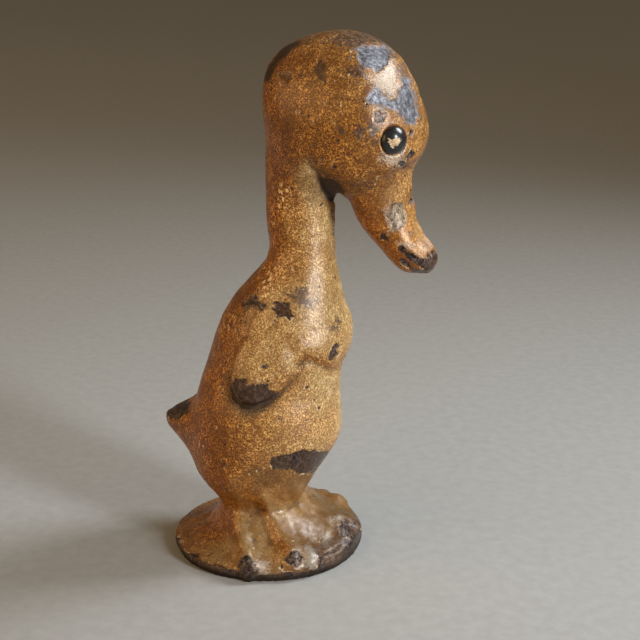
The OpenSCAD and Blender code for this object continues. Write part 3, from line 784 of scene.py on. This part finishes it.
def worn(points, photo):
    """Layers of signed distances in millimetres to the edges of the bare, the thin and the pale spots."""
    edge = jagged(points, CHIP_EDGE_SEED)
    bare = photo.spots(CHIPS)
    bare += edge * ramp(bare, -2, -0.4)
    thin = photo.spots(THIN_SPOTS) + 1.2 * edge
    pale = photo.spots(PALE_SPOTS) + 1.4 * edge

    # The far side has spots of the same kind.
    far = points[:, 1] > FAR_SIDE
    wander = np.stack([bumps(points, *noise) for noise in WANDER_NOISES], axis=1)
    for x, z, radius in FAR_CHIPS:
        gap = np.linalg.norm(points[:, [0, 2]] + FAR_WANDER * wander - (x, z), axis=1)
        bare = np.maximum(bare, np.where(far, radius - gap + 1.6 * edge, NO_SPOT))

    # Specks on the sides that the camera doesn't see, and smaller ones all over.
    random = np.random.default_rng(SPECK_SEED)
    hidden = np.flatnonzero(photo.facing < -0.1)
    specks = [(random.choice(hidden), random.uniform(*FAR_SPECK_SIZES)) for _ in range(FAR_SPECKS)]
    specks += [(random.integers(len(points)), random.uniform(*SPECK_SIZES)) for _ in range(SPECKS)]
    for place, radius in specks:
        gap = np.linalg.norm(points - points[place], axis=1)
        bare = np.maximum(bare, radius - gap + min(1, radius) * edge)

    # The rim of the base is rubbed bare.
    rim = RUBBED_TOP + 0.7 * bumps(points, *RIM_NOISE) + 0.5 * edge - points[:, 2]
    bare = np.maximum(bare, np.where(off_axis(points) > RUBBED_OUT, rim, NO_SPOT))
    return {"bare": bare, "thin": thin, "pale": pale}


def face_share(points):
    """1 on the face and the bill, 0 on the rest."""
    return ramp(points[:, 0], *FACE_OUT) * ramp(points[:, 2], *FACE_UP)


def faded_and_lit_share(points, near):
    """Paler paint towards the lamps and on the wing, less on the head: partly fading, partly painted light.
    """
    faded_and_lit = ramp(near.normals @ FADE_AND_LIGHT_WAY, 0.05, 0.9) * (0.8 + 0.2 * bumps(points, *FADE_AND_LIGHT_NOISE))
    faded_and_lit *= 1 - 0.55 * np.maximum(ramp(points[:, 2], *LESS_FADED_AND_LIT_UP), 0.7 * face_share(points))
    wing = Wing(points)
    faded_and_lit = np.maximum(faded_and_lit, 0.6 * ramp(wing.share, 1.05, 0.8) * ramp(wing.along, *FADED_AND_LIT_WING))
    return np.maximum(faded_and_lit, 0.95 * ramp(near.spots(PAINTED_LIGHT_SPOTS), -3, 1.5))


def painted_shade_share(points, near):
    """Painted shade in the traced spots, in the folds, under the wing's edge and round the rim."""
    rough = 0.35 * bumps(points, *SHADE_NOISE) + 0.8 * jagged(points, SHADE_EDGE_SEED)
    painted_shade = ramp(near.spots(PAINTED_SHADE_SPOTS) + rough, -0.7, 0.5)
    for line, share in SHADED_FOLDS:
        painted_shade = np.maximum(painted_shade, share * near.share * bell(near.off_line(line) + 0.3, 0.9))
    wing = Wing(points)
    depth = 0.15 + 0.25 * ramp(wing.across, -3, 3) + 0.5 * wing.low
    painted_shade = np.maximum(painted_shade, depth * wing.shows * bell(wing.gap - 0.4 - 0.3 * wing.low, 0.8))
    rim = off_axis(points) > RUBBED_OUT
    height = points[:, 2] + 0.4 * bumps(points, *RIM_SHADE_NOISE)
    return np.maximum(painted_shade, rim * ramp(height, RIM_SHADE_TOP, 0.4))


def painted_shadow_share(points, normals, near, faded_and_lit):
    """Painted shadow on the front of the feet and under the belly, and thin painted shade on the head."""
    height = points[:, 2]
    patchy = 0.46 + 0.2 * ramp(points[:, 0], *SHADOWED_OUT) + 0.15 * bumps(points, *FEET_NOISE)
    feet = ramp(height, *SHADOWED_FEET) * patchy * (0.1 + 0.9 * ramp(normals[:, 0], *FACES_FRONT))
    belly = 0.55 * ramp(near.spots(PAINTED_SHADOW_SPOTS) + bumps(points, *BELLY_NOISE), -3, 2)
    head = 0.20 * ramp(height, *SHADED_HEAD) * (1 - faded_and_lit)
    return np.maximum.reduce([feet, belly, head])


def sealed_share(points, normals):
    """Varnish on the feet, most in front, and on the bill."""
    height = points[:, 2]
    feet = ramp(height, *SEALED_FEET) * (0.2 + 0.8 * ramp(normals[:, 0], *FACES_FRONT))
    return np.maximum(feet, 0.70 * face_share(points) * ramp(height, *SEALED_BILL))


def aged(points, normals, photo):
    """Layers from 0 to 1 of what age has done to the paint and to the chips, and of painted light and shade.
    """
    near = near_side(points, normals)
    faded_and_lit = faded_and_lit_share(points, near)
    layers = {
        "faded_and_lit": faded_and_lit,
        "painted_shade": painted_shade_share(points, near),
        "painted_shadow": painted_shadow_share(points, normals, near, faded_and_lit),
        "sealed": sealed_share(points, normals),
        "scratched": ramp(photo.spots(SCRATCHED_SPOTS) + 0.8 * bumps(points, *SCRATCH_NOISE), -0.9, 0.7),
    }
    for finish, chips in CHIP_FINISHES.items():
        layers[finish] = ramp(photo.spots({chip: CHIPS[chip] for chip in chips}), -1.0, -0.3)
    return layers


def held_within(points, low, high):
    """Points kept inside a box, with a soft stop at its walls except the floor."""
    over = np.maximum(points - (high - SOFT_STOP), 0)
    points = points - over + SOFT_STOP * np.tanh(over / SOFT_STOP)
    under = np.maximum(low + SOFT_STOP - points, 0) * (1, 1, 0)
    points = points + under - SOFT_STOP * np.tanh(under / SOFT_STOP)
    return np.clip(points, low, high)


def hollow_depth(points, edges, normals):
    """How deep the points lie in hollows of the skin, in millimetres."""
    shrunk = points
    for _ in range(HOLLOW_PASSES):
        shrunk = neighbour_mean(shrunk, edges)
    return np.einsum("ij,ij->i", shrunk - points, normals)


def add_layer(mesh, name, values):
    """Keeps one number a point for the materials."""
    mesh.attributes.new(name, "FLOAT", "POINT").data.foreach_set("value", values.astype(np.float32))


def casting(name, mesh, keep):
    """One half casting: the skin cut and closed at the parting plane. keep is -1 or 1, its side in Y."""
    half = bmesh.new()
    half.from_mesh(mesh)
    everything = half.verts[:] + half.edges[:] + half.faces[:]
    cut = bmesh.ops.bisect_plane(half, geom=everything, dist=WELD, plane_co=(0, 0, 0), plane_no=(0, keep, 0),
                                 clear_inner=True)
    edges = [e for e in cut["geom_cut"] if isinstance(e, bmesh.types.BMEdge)]
    bmesh.ops.holes_fill(half, edges=edges)
    bmesh.ops.triangulate(half, faces=[f for f in half.faces if len(f.verts) > 4])
    made = bpy.data.meshes.new(name)
    half.to_mesh(made)
    half.free()
    made.shade_smooth()
    return placed(name, made)


def eye_piece(name, eye, outline):
    """A domed enamel eye with a rounded rim and a chip in its face."""
    middle, axis, radius = eye
    sphere = (radius ** 2 + EYE_DOME ** 2) / (2 * EYE_DOME)
    radii = np.linspace(0.03, 1, 40) * radius
    heights = np.sqrt(sphere ** 2 - radii ** 2) - sphere + EYE_DOME
    heights -= EYE_ROUND * ramp(radii, radius - EYE_ROUND, radius) ** 2
    wall = np.linspace(-0.5, -EYE_PLUG, 5)
    radii = np.concatenate([radii, np.full(len(wall), radius)])
    heights = np.concatenate([heights, wall])

    across = unit(np.cross([0, 0, 1], axis))
    upward = np.cross(axis, across)
    angles = 2 * math.pi * np.arange(EYE_TURNS) / EYE_TURNS
    around = np.cos(angles)[:, None] * across + np.sin(angles)[:, None] * upward
    rings = middle + radii[:, None, None] * around + heights[:, None, None] * axis
    points = np.concatenate([rings.reshape(-1, 3), [middle + EYE_DOME * axis, middle - EYE_PLUG * axis]])
    top, foot = len(points) - 2, len(points) - 1
    last = (len(radii) - 1) * EYE_TURNS
    faces = []
    for j in range(EYE_TURNS):
        following = (j + 1) % EYE_TURNS
        faces.append((top, j, following))
        for ring in range(0, last, EYE_TURNS):
            below = ring + EYE_TURNS
            faces.append((ring + j, below + j, below + following, ring + following))
        faces.append((last + following, last + j, foot))

    # The chip is a shallow break in the enamel.
    pixels, scale = to_photo(points * (1, -np.sign(middle[1]), 1))
    bare = within(pixels, outline) * scale + 0.12 * bumps(points, *EYE_CHIP_NOISE)
    points -= EYE_CHIP_DEPTH * ramp(bare, -0.08, 0.08)[:, None] * axis
    mesh = bpy.data.meshes.new(name)
    mesh.from_pydata((points * MM).tolist(), [], faces)
    mesh.validate()
    mesh.shade_smooth()
    add_layer(mesh, "bare", bare)
    return placed(name, mesh)


def screw_piece(name, cad):
    """The slotted screw with its edges broken."""
    piece = placed(name, cad.data.copy())
    piece.data.name = name
    weld = piece.modifiers.new("weld", "WELD")
    weld.merge_threshold = WELD
    edges = piece.modifiers.new("edges", "BEVEL")
    edges.width = SCREW_BEVEL * MM
    edges.segments = 3
    edges.limit_method = "ANGLE"
    edges.angle_limit = math.radians(40)
    return piece


class Shading:
    """A material in the making, with a short call for each kind of node that is used here."""

    def __init__(self, name):
        self.material = bpy.data.materials.new(name)
        self.material.use_nodes = True
        self.tree = self.material.node_tree
        self.tree.nodes.clear()

    def node(self, kind, inputs=None, **settings):
        """Adds a shader node, sets its properties and fills or links its inputs."""
        made = self.tree.nodes.new("ShaderNode" + kind)
        for name, value in settings.items():
            setattr(made, name, value)
        for name, value in (inputs or {}).items():
            if isinstance(value, bpy.types.NodeSocket):
                self.tree.links.new(value, made.inputs[name])
            else:
                made.inputs[name].default_value = value
        return made

    def place(self):
        """Coordinates in metres on the piece."""
        return self.node("TexCoord").outputs["Object"]

    def grain(self, size, detail=3.0, roughness=0.6, shift=0.0):
        """Noise with features of a size in millimetres."""
        place = self.place()
        if shift:
            place = self.node("VectorMath", {0: place, 1: (shift, shift, shift)}, operation="ADD").outputs[0]
        inputs = {"Vector": place, "Scale": 1 / (size * MM), "Detail": detail, "Roughness": roughness}
        return self.node("TexNoise", inputs).outputs["Fac"]

    def noise(self, size, detail, roughness, shift, *ranges):
        """Noise mapped from one range to another."""
        return self.mapped(self.grain(size, detail, roughness, shift), *ranges)

    def cells(self, size, stretch, output):
        """Cells of a size in millimetres: a random colour for each, or the distance from its middle."""
        place = self.place()
        if stretch:
            place = self.node("VectorMath", {0: place, 1: stretch}, operation="MULTIPLY").outputs[0]
        return self.node("TexVoronoi", {"Vector": place, "Scale": 1 / (size * MM)}).outputs[output]

    def layer(self, name):
        """A number kept on the points of the mesh."""
        return self.node("Attribute", attribute_name=name).outputs["Fac"]

    def mapped(self, value, low, high, to_low=0.0, to_high=1.0):
        """A number mapped from one range to another, smoothly and clamped."""
        inputs = {"Value": value, "From Min": low, "From Max": high, "To Min": to_low, "To Max": to_high}
        return self.node("MapRange", inputs, interpolation_type="SMOOTHSTEP").outputs[0]

    def plus(self, a, b):
        """The sum of two numbers."""
        return self.node("Math", {0: a, 1: b}, operation="ADD").outputs[0]

    def times(self, product, *factors):
        """The product of numbers."""
        for factor in factors:
            product = self.node("Math", {0: product, 1: factor}, operation="MULTIPLY").outputs[0]
        return product

    def between(self, share, a, b):
        """A number between a and b."""
        return self.node("Mix", {0: share, 2: a, 3: b}, data_type="FLOAT").outputs[0]

    def mixed(self, share, a, b, most=None):
        """A colour between a and b, of which b may be red, green and blue, with the share times most."""
        b = (*b, 1.0) if isinstance(b, tuple) else b
        share = self.times(share, most) if most else share
        return self.node("Mix", {0: share, 6: a, 7: b}, data_type="RGBA").outputs[2]

    def shades(self, value, stops):
        """A colour from a list of places and colours."""
        made = self.node("ValToRGB", {"Fac": value})
        steps = made.color_ramp.elements
        while len(steps) < len(stops):
            steps.new(1.0)
        for step, (place, colour) in zip(steps, stops):
            step.position = place
            step.color = (*colour, 1.0)
        return made.outputs["Color"]

    def bump(self, height, strength, depth, **under):
        """Normals of a relief of a depth in millimetres, over the normals of another if given."""
        inputs = {"Height": height, "Strength": strength, "Distance": depth * MM, **under}
        return self.node("Bump", inputs).outputs[0]

    def finished(self, inputs):
        """The material with a surface of these inputs."""
        surface = self.node("BsdfPrincipled", inputs)
        output = self.node("OutputMaterial")
        self.tree.links.new(surface.outputs[0], output.inputs["Surface"])
        return self.material


def paint_coat(make, fine):
    """Colour of the paint: speckled, paler towards the lamps, mottled, with painted shadow and painted shade
    in the hollows.
    """
    flakes = make.mapped(make.cells(FLAKE, None, "Color"), 0.66, 0.90, 0.0, 0.14)
    calm = make.times(make.layer("sealed"), 0.65)
    sparkle = make.between(calm, make.plus(fine, flakes), 0.51)
    deep = make.shades(sparkle, DEEP_PAINT)
    light = make.shades(sparkle, FADED_AND_LIT_PAINT)
    patchy = make.noise(*FADE_AND_LIGHT_PATCHES)
    faded_and_lit = make.layer("faded_and_lit")
    # Paler paint where it faces the lamps and on the wing: partly fading, partly painted light.
    paint = make.mixed(make.times(faded_and_lit, patchy), deep, light)
    evened = make.mapped(faded_and_lit, 0.1, 0.8, 1.0, 0.50)
    for size, share, shift in MOTTLES:
        mottle = make.noise(size, 4.0, 0.65, shift, 0.46, 0.62, 0.0, share)
        paint = make.mixed(make.times(mottle, evened), paint, MOTTLE_BROWN)
    # Painted shadow on the feet and under the belly, painted shade on the head.
    paint = make.mixed(make.layer("painted_shadow"), paint, SHADOW_DARK)
    # Painted shade in the hollows.
    hollow_shade = make.mapped(make.layer("hollow"), 0.05, 0.32)
    return make.mixed(hollow_shade, paint, HOLLOW_SHADE, 0.75)


def bare_iron(make, rust):
    """Colour of the bare iron: dark and pitted, browner in places, with what the chips have kept; the rubbed
    iron partly a painted reflection.
    """
    iron = make.shades(rust, IRON)
    brown = make.noise(*RUST_PATCHES)
    iron = make.mixed(brown, iron, RUST_BROWN, 0.55)
    film = make.mapped(rust, 0.40, 0.60, 0.55, 0.95)
    iron = make.mixed(make.times(make.layer("film"), film), iron, FILM_BROWN)
    primer = make.noise(*PRIMER_SPECKS)
    iron = make.mixed(make.times(make.layer("primed"), primer), iron, PRIMER_LEFT)
    return make.mixed(make.layer("smooth"), iron, make.shades(rust, RUBBED_IRON_AND_REFLECTION))


def rubbed_coat(make, paint, iron, fine):
    """The paint where it is worn: thin over the iron, rubbed pale with a painted highlight in places,
    flecked and scratched.
    """
    scatter = make.noise(*THIN_SPREAD)
    through = make.mapped(make.plus(make.layer("thin"), scatter), -0.4, 0.5)
    paint = make.mixed(through, paint, iron, 0.80)

    # Pale rubbed paint, in places also a painted highlight.
    spread = make.plus(make.layer("pale"), make.mapped(fine, 0.3, 0.7, -0.8, 0.8))
    share = make.mapped(fine, 0.36, 0.64, 0.28, 0.54)
    paint = make.mixed(make.times(make.mapped(spread, -0.7, 0.6), share), paint, PALE_RUB_AND_HIGHLIGHT)

    ragged = make.noise(*FLECK_EDGES)
    flecks = make.mapped(make.plus(make.cells(FLECK, STRETCHED, "Distance"), ragged), 0.20, 0.12)
    fewer = make.mapped(make.layer("faded_and_lit"), 0.0, 0.6, 0.0, -0.05)
    flecked = make.mapped(make.plus(make.grain(*FLECK_PATCHES), fewer), 0.50, 0.58)
    paint = make.mixed(make.times(flecks, flecked), paint, FLECK_TAN, 0.75)

    ragged = make.mapped(fine, 0.3, 0.7, 0.15, -0.15)
    strokes = make.mapped(make.plus(make.cells(STROKE, STRETCHED, "Distance"), ragged), 0.44, 0.34)
    clumps = make.noise(*STROKE_CLUMPS)
    strokes = make.times(strokes, make.layer("scratched"), clumps)
    return make.mixed(strokes, paint, STROKE_TAN, 0.80)


def chipped_edge(make, paint, edge):
    """The paint near its broken edges: darker along them, with primer along parts of them."""
    edge_darkened = make.mapped(edge, -0.6, 0.0)
    paint = make.mixed(edge_darkened, paint, CHIP_EDGE_DARK, 0.35)
    here = make.noise(*PRIMER_PATCHES)
    rough = make.mapped(make.layer("smooth"), 0.0, 0.5, 1.0, 0.0)
    raised = make.mapped(make.layer("hollow"), 0.02, 0.10, 1.0, 0.0)
    primer = make.times(make.mapped(edge, -0.26, -0.10), here, rough, raised)
    return make.mixed(primer, paint, PRIMER)


def paint_material():
    """Speckled bronze paint, flaked to dark iron, with cream primer at the breaks."""
    make = Shading("worn_bronze_paint")
    fine = make.grain(*PAINT_GRAIN)
    rust = make.grain(*RUST_GRAIN)
    broken = make.noise(*BROKEN_EDGES)
    edge = make.plus(make.layer("bare"), broken)
    bare = make.mapped(edge, -0.06, 0.06)
    smooth = make.layer("smooth")
    painted_shade = make.layer("painted_shade")

    iron = bare_iron(make, rust)
    paint = rubbed_coat(make, paint_coat(make, fine), iron, fine)
    colour = make.mixed(bare, chipped_edge(make, paint, edge), iron)
    # Painted shade in the throat, at the nape, in the folds, under the wing and round the rim, nearly black.
    colour = make.mixed(painted_shade, colour, SHADE_DARK, 0.91)

    gloss = make.noise(*VARNISH_GLOSS)
    rough_paint = make.between(make.layer("sealed"), make.mapped(fine, 0.3, 0.7, 0.41, 0.26), gloss)
    rough_iron = make.between(smooth, make.mapped(rust, 0.35, 0.65, 0.20, 0.36), 0.42)
    roughness = make.between(painted_shade, make.between(bare, rough_paint, rough_iron), 0.85)
    metal = make.mapped(bare, 0.0, 1.0, 0.06, 0.50)

    pits = make.times(rust, bare, make.mapped(smooth, 0.0, 1.0, 1.0, 0.7))
    relief = make.bump(fine, 0.4, PAINT_RELIEF)
    relief = make.bump(pits, 0.6, IRON_RELIEF, Normal=relief)
    relief = make.bump(bare, 0.7, CHIP_RELIEF, Normal=relief)
    return make.finished({"Base Color": colour, "Roughness": roughness, "Metallic": metal,
                          "Specular IOR Level": 0.45, "Normal": relief})


def enamel_material():
    """Gloss black enamel, chipped to primer."""
    make = Shading("black_enamel")
    fine = make.grain(EYE_PRIMER_GRAIN)
    edge = make.plus(make.layer("bare"), make.mapped(fine, 0.3, 0.7, -0.10, 0.10))
    chip = make.mapped(edge, -0.03, 0.03)
    colour = make.mixed(chip, make.shades(make.grain(ENAMEL_TONES), ENAMEL), make.shades(fine, EYE_PRIMER))
    roughness = make.mapped(chip, 0.0, 1.0, 0.24, 0.55)
    relief = make.bump(make.grain(ENAMEL_WAVES), 0.15, ENAMEL_RELIEF)
    return make.finished({"Base Color": colour, "Roughness": roughness, "Specular IOR Level": 0.55,
                          "Normal": relief})


def screw_material():
    """Darkened steel, finely uneven."""
    make = Shading("dark_steel")
    uneven = make.grain(*STEEL_GRAIN)
    colour = make.shades(uneven, STEEL)
    roughness = make.mapped(uneven, 0.3, 0.7, 0.32, 0.5)
    relief = make.bump(uneven, 0.3, STEEL_RELIEF)
    return make.finished({"Base Color": colour, "Roughness": roughness, "Metallic": 0.85, "Normal": relief})


def floor_material():
    """Pale paper."""
    make = Shading("pale_paper")
    return make.finished({"Base Color": make.shades(make.grain(PAPER_GRAIN), PAPER), "Roughness": 0.8})


def dress(piece, material, replaced):
    """Gives a piece its material and its place in the frame."""
    piece.data.materials.clear()
    piece.data.materials.append(material)
    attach(piece, "root")
    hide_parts(replaced)


def aimed(thing, place, way):
    """Puts a lamp or a camera at a place, looking along a way."""
    thing.location = place
    thing.rotation_euler = Vector(way).to_track_quat("-Z", "Y").to_euler()


def lamp(name, place, target, size, power, colour, spread):
    """A soft lamp of a width and a height, with its beam held to a spread in degrees."""
    data = bpy.data.lights.new(name, "AREA")
    data.shape = "RECTANGLE"
    data.size, data.size_y = size
    data.energy = power
    data.color = colour
    data.spread = math.radians(spread)
    aimed(placed(name, data), place, np.subtract(target, place))


# The skin of both halves
eyes = {side: plug_axis(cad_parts[side + "_eye"]) for side in EYE_CHIPS}
points, quads = remeshed(outer_form(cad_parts["right_half"], eyes["right"]))
edges = edges_of(quads)
points = set_back(rounded(relaxed(points, edges), edges))
points = seated(sculpted(points, normals_of(points, quads)), eyes.values())
normals = normals_of(points, quads)
photo = Seen(points, normals)
layers = {**worn(points, photo), **aged(points, normals, photo)}
points -= PAINT_DEPTH * ramp(layers["bare"], -0.15, 0.15)[:, None] * normals
points = held_within(points, *(np.array(corner) / MM for corner in cad_box))
layers["hollow"] = hollow_depth(points, edges, normals)

skin = bpy.data.meshes.new("skin")
skin.from_pydata((points * MM).tolist(), [], quads.tolist())
for name, values in layers.items():
    add_layer(skin, name, values)

# The pieces
paint = paint_material()
for side, keep in (("right", -1), ("left", 1)):
    dress(casting(side + "_casting", skin, keep), paint, side + "_half")
enamel = enamel_material()
for side, outline in EYE_CHIPS.items():
    dress(eye_piece(side + "_eye_dome", eyes[side], outline), enamel, side + "_eye")
dress(screw_piece("slotted_screw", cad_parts["tie_screw"]), screw_material(), "tie_screw")
bpy.data.meshes.remove(skin)

# The floor, the light and the camera
floor_mesh = bpy.data.meshes.new("floor")
corners = [(-1, -1), (1, -1), (1, 1), (-1, 1)]
floor_mesh.from_pydata([(x * FLOOR_REACH, y * FLOOR_REACH, 0) for x, y in corners], [], [(0, 1, 2, 3)])
floor_mesh.materials.append(floor_material())
placed("floor", floor_mesh)

for name, values in LAMPS.items():
    lamp(name, *values)
world = bpy.data.worlds.new("studio")
world.use_nodes = True
background = world.node_tree.nodes["Background"].inputs
background["Color"].default_value = WORLD_COLOUR
background["Strength"].default_value = WORLD_STRENGTH
bpy.context.scene.world = world

lens = bpy.data.cameras.new("photo_camera")
lens.sensor_width = SENSOR_MM
lens.lens = FOCAL_PX / FRAME_PX * SENSOR_MM
camera = placed("photo_camera", lens)
aimed(camera, CAMERA_PLACE * MM, AIM)
bpy.context.scene.camera = camera
bpy.context.scene.view_settings.view_transform = "Standard"
